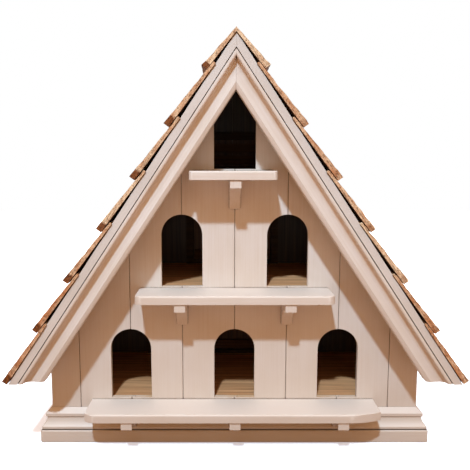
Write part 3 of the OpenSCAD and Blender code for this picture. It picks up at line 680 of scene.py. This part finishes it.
def dress(node, main, edge, slot, width=PAINT_EASE):
    """Makes the piece that is seen for a node, with one finish on its faces and one on its edges."""
    piece = clean_copy(node, node + "_dressed")
    piece.data.materials.append(main)
    piece.data.materials.append(edge)
    ease_edges(piece, width)
    smooth(piece)
    keep_flats_flat(piece)
    stand_for(piece, slot, node)


print("dressing ready for", len(body_of_node), "nodes")

# %% [markdown]
# ## Painted pieces
# Which way a piece's grain runs is how it was cut: wall boards and brackets upright, ledges,
# plinth and turn buttons along the wall, the plinth's side pieces and the roof decks front to
# back, and the roof's mouldings and verge boards down the slope. The decks have their own coat,
# and their edges are hardly eased, because they meet the mouldings in a tight line. The doors'
# boards differ from the wall's only at the back.

# %% Dress the painted pieces
DECK_EASE = 0.25 * MM
DECKS = ["roof_deck_left", "roof_deck_right"]
DOORS = ["bottom_door_boards", "middle_door_boards", "top_door_boards"]
GRAINS = {
    "upright": [f"front_board_{i}" for i in range(1, 9)]
    + ["rear_boards_left", "rear_boards_right", "side_wall_left", "side_wall_right"]
    + ["bottom_brackets", "middle_brackets", "top_bracket"],
    "across": ["bottom_ledge", "middle_ledge", "top_ledge", "base_strip_front", "base_strip_rear"]
    + ["plinth_moulding_front", "plinth_moulding_rear"]
    + ["bottom_button_left", "bottom_button_right", "middle_button_left", "middle_button_right"]
    + ["top_button"],
    "deep": ["base_strips_side", "plinth_mouldings_side"],
    "slope": ["rake_moulding_left", "rake_moulding_right", "rear_verge_boards"],
}
for grain, nodes in GRAINS.items():
    for node in nodes:
        dress(node, PAINTS[grain], WORN[grain], "painted_timber")
for node in DECKS:
    dress(node, ROOF_PAINT, WORN_ROOF, "painted_timber", width=DECK_EASE)
for node in DOORS:
    dress(node, DOOR_PAINT, WORN_DOOR, "painted_timber")
print("painted pieces:", sum(len(nodes) for nodes in GRAINS.values()) + len(DECKS + DOORS))

# %% [markdown]
# ## Bare pieces
# Floors, partitions, battens and fillets are sawn pine that nobody has painted. The partitions,
# stops and fillets are as dark as the rest of the inside, aged wood with painted shade, and the
# doors' battens match the doors' backs.

# %% Dress the bare pieces
SAWN_EASE = 0.6 * MM
FLOOR = bare_timber("nest_floor", "across", PINE_LIGHT, PINE_DARK)
# Nearly black inside wood: aged wood darkened further as painted shade.
SHADED_OLD_UPRIGHT = bare_timber("shaded_old_upright", "upright", *OLD_AND_SHADED)
SHADED_OLD_ACROSS = bare_timber("shaded_old_across", "across", *OLD_AND_SHADED)
DOOR_ACROSS = bare_timber("door_across", "across", *DOOR_BACK_AND_SHADED)
BARE = {
    "base_floor": FLOOR,
    "middle_floor": FLOOR,
    "top_floor": FLOOR,
    "bottom_partitions": SHADED_OLD_UPRIGHT,
    "middle_partition": SHADED_OLD_UPRIGHT,
    "cleats": SHADED_OLD_ACROSS,
    "eaves_fillets": SHADED_OLD_ACROSS,
    "bottom_door_battens": DOOR_ACROSS,
    "middle_door_battens": DOOR_ACROSS,
    "top_door_battens": DOOR_ACROSS,
}
for node, finish in BARE.items():
    dress(node, finish, finish, "bare_timber", width=SAWN_EASE)
print("bare pieces:", len(BARE))

# %% [markdown]
# ## Metal pieces
# The hinge leaves, pins and screws keep their solids: a pin in its knuckle is already the right
# shape, and all that they need is a finish.

# %% Finish the metal nodes
METAL = {
    "fixed_hinge_leaves": BRASS,
    "bottom_door_hinges": BRASS,
    "middle_door_hinges": BRASS,
    "top_door_hinges": BRASS,
    "rear_screws": BRASS,
    "hinge_pins": STEEL,
}
for node, finish in METAL.items():
    frame["nodes"][node].data.materials.clear()
    frame["nodes"][node].data.materials.append(finish)
print("metal pieces:", len(METAL))

# %% [markdown]
# ## Shingles
# No two split shingles are alike. Each solid wedge gives the place and size of one shingle, and a
# fine grid is made inside it: its face is ridged along the grain, its butt is ragged, and its
# sides wander a little. Everything is taken off the wedge and nothing is added, so a shingle
# never leaves its place. The work is done in the roof's own measures, down the slope, along the
# ridge and off the deck, which are the same for both slopes.

# %% Find the wedges
RIDGE_GAP = 0.1 * MM


def roof_place(point):
    """(distance down the slope, y, height off the deck) of a point, the same for both slopes."""
    drop = deck_apex_z - point.z
    down = abs(point.x) * math.cos(pitch) + drop * math.sin(pitch)
    off = abs(point.x) * math.sin(pitch) - drop * math.cos(pitch)
    return down, point.y, off


def from_roof_place(down, y, off, side):
    x = down * math.cos(pitch) + off * math.sin(pitch)
    drop = down * math.sin(pitch) - off * math.cos(pitch)
    return Vector((side * x, y, deck_apex_z - drop))


def solids_of(node):
    """The corners of each separate solid in a course. Its two slopes are read apart, because the
    ridge shingles of both meet corner to corner."""
    found = []
    for side in (-1, 1):
        bm = bmesh.new()
        bm.from_mesh(frame["nodes"][node].data)
        other = [face for face in bm.faces if side * face.calc_center_median().x < RIDGE_GAP]
        bmesh.ops.delete(bm, geom=other, context="FACES")
        bmesh.ops.remove_doubles(bm, verts=bm.verts, dist=SAME_POINT)
        left = set(bm.verts)
        while left:
            group, edge = set(), [left.pop()]
            while edge:
                vert = edge.pop()
                group.add(vert)
                near = {e.other_vert(vert) for e in vert.link_edges} & left
                left -= near
                edge += near
            found.append([v.co.copy() for v in group])
        bm.free()
    return sorted(found, key=lambda corners: min((c.x, c.y) for c in corners))


def wedge_of(corners):
    """(side, low y, high y, tip under, tip over, butt under, butt over) of a shingle's solid."""
    side = 1 if sum(c.x for c in corners) > 0 else -1
    places = [roof_place(c) for c in corners]
    ys = [p[1] for p in places]
    outline = sorted({(round(p[0], 6), round(p[2], 6)) for p in places if p[1] < sum(ys) / len(ys)})
    tip = sorted(outline[:2], key=lambda p: p[1])
    butt = sorted(outline[-2:], key=lambda p: p[1])
    return side, min(ys), max(ys), tip[0], tip[1], butt[0], butt[1]


print("wedges in the top course:", len(solids_of("shingle_course_1")))

# %% [markdown]
# The relief is Perlin noise, stretched down the slope: two octaves of ridges on the face, broad
# hollows where the split ran deep, a ragged butt, and sides that drift. The depths are in metres,
# and each pair of numbers is how often the noise turns in a metre, along the ridge and down the
# slope. The relief fades out where the shingle is too thin to hold it.

# %% Split the wood
SEED_STEP = 7.31
RIDGE_DEPTH = 0.9 * MM
RIDGES = (260, 6)
FINE_RIDGES = (620, 14)
HOLLOW_DEPTH = 2.6 * MM
HOLLOWS = (12, 75)
RAGGED = 3.2 * MM
RAGS = (90, 1)
FINE_RAGS = (420, 1)
WANDER = 1.2 * MM
DRIFT = (1, 22)
THIN = 4 * MM


def streaky(down, y, seed, turns_across, turns_down):
    """Noise from 0 to 1, which is different for each seed."""
    return 0.5 + 0.5 * noise.noise(Vector((down * turns_down, y * turns_across, seed * SEED_STEP)))


def split_place(wedge, seed, along, across, through):
    """(down, y, off) of the point at these shares of the wedge, once the wood there is split."""
    _, y0, y1, tip_under, tip_over, butt_under, butt_over = wedge
    under = [t + (u - t) * along for t, u in zip(tip_under, butt_under)]
    over = [t + (u - t) * along for t, u in zip(tip_over, butt_over)]
    down = under[0] + (over[0] - under[0]) * through
    off = under[1] + (over[1] - under[1]) * through
    y = y0 + (y1 - y0) * across
    ridges = 0.7 * streaky(down, y, seed, *RIDGES) + 0.3 * streaky(down, y, seed + 0.5, *FINE_RIDGES)
    thin = min(1.0, (over[1] - under[1]) / THIN)
    off -= RIDGE_DEPTH * ridges * through * thin
    off -= HOLLOW_DEPTH * streaky(down, y, seed + 0.9, *HOLLOWS) ** 2 * through * thin
    ragged = 0.6 * streaky(0.0, y, seed + 0.2, *RAGS) + 0.4 * streaky(0.0, y, seed + 0.3, *FINE_RAGS)
    last_quarter = max(0.0, along * 4 - 3)
    down -= RAGGED * ragged * last_quarter * (0.75 + 0.25 * through)
    drift = WANDER * streaky(down, 0.0, seed + 0.7 + across, *DRIFT)
    y += drift * (1 - 2 * across) * (abs(2 * across - 1) ** 6)
    return down, y, off


print("wood splits up to", round((RIDGE_DEPTH + HOLLOW_DEPTH) / MM, 1), "mm deep")

# %% [markdown]
# A shingle is a closed grid of small cells with three layers through its thickness. Each of its
# corners also carries two numbers for the finish: the shingle's tone, and how soaked the wood is,
# which is most at the butt, at the open front edge and on the left slope, the wetter of the two.

# %% Carve one shingle
CELL_ALONG = 5 * MM
CELL_ACROSS = 3 * MM
LAYERS = 3
SOAK_START = 0.83
SOAK_RISE = 22
DRY_SIDE = 0.65
OPEN_EDGE = 25 * MM


def soak(side, along, y):
    """How wet the wood stays, from 0 to 1, at a share of the way from tip to butt."""
    butt = max(0.0, min(1.0, (along - SOAK_START) * SOAK_RISE))
    wet = 1.0 if side < 0 else DRY_SIDE
    open_edge = max(0.0, 1.0 - (y - solid_low.y) / OPEN_EDGE)
    return butt * wet * (0.5 + 0.5 * open_edge)


def carve(bm, tone_layer, butt_layer, wedge, seed, tone):
    """Adds one shingle to bm as a closed grid: a along the slope, b across it, c through it."""
    side, y0, y1, _, tip_over, _, butt_over = wedge
    n_a = max(4, round((butt_over[0] - tip_over[0]) / CELL_ALONG))
    n_b = max(4, round((y1 - y0) / CELL_ACROSS))
    verts = {}

    def corner(a, b, c):
        if (a, b, c) not in verts:
            down, y, off = split_place(wedge, seed, a / n_a, b / n_b, c / LAYERS)
            vert = bm.verts.new(from_roof_place(down, y, off, side))
            vert[tone_layer] = tone
            vert[butt_layer] = soak(side, a / n_a, y)
            verts[a, b, c] = vert
        return verts[a, b, c]

    def face(*keys):
        made = [corner(*key) for key in keys]
        bm.faces.new(made if side > 0 else made[::-1])

    for a in range(n_a):
        for b in range(n_b):
            face((a, b, LAYERS), (a + 1, b, LAYERS), (a + 1, b + 1, LAYERS), (a, b + 1, LAYERS))
            face((a, b + 1, 0), (a + 1, b + 1, 0), (a + 1, b, 0), (a, b, 0))
        for c in range(LAYERS):
            face((a, 0, c), (a + 1, 0, c), (a + 1, 0, c + 1), (a, 0, c + 1))
            face((a, n_b, c + 1), (a + 1, n_b, c + 1), (a + 1, n_b, c), (a, n_b, c))
    for b in range(n_b):
        for c in range(LAYERS):
            face((0, b + 1, c), (0, b, c), (0, b, c + 1), (0, b + 1, c + 1))
            face((n_a, b, c), (n_a, b + 1, c), (n_a, b + 1, c + 1), (n_a, b, c + 1))


print("a shingle is carved in cells of", CELL_ALONG / MM, "by", CELL_ACROSS / MM, "mm")

# %% [markdown]
# Each course is one piece, and each of its shingles has its own seed and tone. The numbers come
# from a seeded generator, so the roof is the same each time. The ridge course is cut from paler
# wood than the rest.

# %% Carve the courses
RIDGE_TONE = 0.3
SPLIT_FACET = math.radians(48)
SEED = 56
cutter = random.Random(SEED)
for course in range(1, 8):
    node = f"shingle_course_{course}"
    bm = bmesh.new()
    tone_layer = bm.verts.layers.float.new("tone")
    butt_layer = bm.verts.layers.float.new("butt")
    solids = solids_of(node)
    for corners in solids:
        seed, tone = cutter.uniform(0, 90), cutter.random()
        if course == 1:
            tone *= RIDGE_TONE
        carve(bm, tone_layer, butt_layer, wedge_of(corners), seed, tone)
    mesh = bpy.data.meshes.new(f"split_shingles_{course}")
    bm.to_mesh(mesh)
    bm.free()
    piece = bpy.data.objects.new(mesh.name, mesh)
    bpy.context.scene.collection.objects.link(piece)
    mesh.materials.append(CEDAR)
    smooth(piece, SPLIT_FACET)
    stand_for(piece, "cedar_shingle", node)
    print(node, len(solids), "shingles,", len(mesh.polygons), "faces")

# %% [markdown]
# ## The camera
# It stands a little over a metre from the front wall, level with the top ledge and slightly left
# of the middle, and looks straight on and slightly down. The lens is shifted sideways, which
# brings the house back to the middle of the view and keeps its level lines level, as turning the
# camera would not.

# %% Camera
EYE_X = -0.026
EYE_Z = 0.600
EYE_BACK = 1.153
LOOK_DOWN = math.radians(7.15)
LENS = 41.8
FILM = 36
LENS_SHIFT = 0.0266
camera = bpy.data.objects.new("camera", bpy.data.cameras.new("camera"))
bpy.context.scene.collection.objects.link(camera)
camera.data.lens = LENS
camera.data.sensor_width = FILM
camera.data.shift_x = LENS_SHIFT
camera.location = (EYE_X, front_y - EYE_BACK, EYE_Z)
camera.rotation_euler = (math.radians(90) - LOOK_DOWN, 0, 0)
bpy.context.scene.camera = camera
print("camera at", [round(v, 3) for v in camera.location])

# %% [markdown]
# ## Floor, sky and lamps
# A pale floor takes the shadow. Where the camera, a mirror or a window looks past the house it
# sees plain white, and the floor glows towards that white so that no horizon shows, but less so
# near the house, where the shadow has to stay. The light that the floor throws back up at the
# house is a warm brown, as from a wooden bench.

# %% Floor
FLOOR_HALF = 6.0
FLOOR_GAP = 0.5 * MM
FLOOR_WHITE = (0.95, 0.95, 0.95)
FLOOR_BOUNCE = (0.26, 0.10, 0.02)
NEAR = 0.55
FAR = 1.6
GLOW_NEAR = (0.38, 0.43, 0.50)


def seen_straight(home):
    """1 for what the camera, a mirror or a window sees, and 0 for light on its way."""
    path = home.node("ShaderNodeLightPath")
    return path + path.also("Is Glossy Ray") + path.also("Is Transmission Ray")


def make_floor():
    """A wide square just under the house. It belongs to the stage, not to the house."""
    mesh = bpy.data.meshes.new("floor")
    corners = [(-1, -1), (1, -1), (1, 1), (-1, 1)]
    z = solid_low.z - FLOOR_GAP
    mesh.from_pydata([(sx * FLOOR_HALF, sy * FLOOR_HALF, z) for sx, sy in corners], [], [(0, 1, 2, 3)])
    floor = bpy.data.objects.new("floor", mesh)
    bpy.context.scene.collection.objects.link(floor)
    f = Finish("floor")
    mesh.materials.append(f.material)
    f.set(Roughness=0.9)
    seen = seen_straight(f)
    far = f.span(f.node("ShaderNodeVectorMath", {"operation": "LENGTH"}, f.place), NEAR, FAR)
    glow = f.between(far, GLOW_NEAR, (1.0, 1.0, 1.0))
    f.set(Base_Color=f.between(seen, FLOOR_BOUNCE, FLOOR_WHITE), Emission_Strength=1.0,
          Emission_Color=f.between(seen, (0.0, 0.0, 0.0), glow))


make_floor()
print("floor", 2 * FLOOR_HALF, "m wide")

# %% [markdown]
# The sky fills in the shade with warm light, as bounced light in a wooden room would, a little
# whiter from the ceiling.

# %% Sky
SKY_SIDE = (0.635, 0.352, 0.146)
SKY_TOP = (1.15, 0.80, 0.55)


def make_sky():
    """Warm light from all round for the house, and plain white for whoever looks past it."""
    world = bpy.data.worlds.new("sky")
    bpy.context.scene.world = world
    world.use_nodes = True
    sky = Nodes(world.node_tree)
    sky.tree.nodes.remove(sky.tree.nodes["Background"])
    height = sky.node("ShaderNodeSeparateXYZ", None, sky.node("ShaderNodeTexCoord")).also("Z")
    warm = sky.node("ShaderNodeBackground", None, sky.ramp(height, (0.45, SKY_SIDE), (1.0, SKY_TOP)))
    white = sky.node("ShaderNodeBackground", None, (1.0, 1.0, 1.0))
    mixed = sky.node("ShaderNodeMixShader", None, seen_straight(sky), warm, white)
    sky.feed(sky.tree.nodes["World Output"].inputs["Surface"], mixed)


make_sky()
bpy.context.scene.view_settings.view_transform = "Standard"
print("sky ready")

# %% [markdown]
# The main lamp hangs five metres off, high in front and to the left, and its globe is wide enough
# to soften a shadow's edge. A softer lamp hangs behind, so that the back shows its true colours
# too.

# %% Lamps
LAMP_COLOUR = (0.575, 0.80, 0.99)
LAMP_PLACE = (-0.615, front_y - 3.2, 4.27)
LAMP_WATTS = 1065
LAMP_RADIUS = 0.13
BACK_PLACE = (1.5, rear_y + 3.0, 3.2)
BACK_WATTS = 820
BACK_RADIUS = 0.5


def hang_lamp(name, place, watts, radius):
    data = bpy.data.lights.new(name, "POINT")
    data.energy = watts
    data.color = LAMP_COLOUR
    data.shadow_soft_size = radius
    lamp = bpy.data.objects.new(name, data)
    bpy.context.scene.collection.objects.link(lamp)
    lamp.location = place


hang_lamp("lamp", LAMP_PLACE, LAMP_WATTS, LAMP_RADIUS)
hang_lamp("back_lamp", BACK_PLACE, BACK_WATTS, BACK_RADIUS)
print("lamps of", LAMP_WATTS, "and", BACK_WATTS, "watts")

# %% [markdown]
# ## The solids' box
# The dressed part has to fill the same box as the solids, neither more nor much less. Here only
# the solids' box is printed.

# %% Print the solids' box and finish
print("solid", [round(v, 4) for v in solid_high - solid_low])
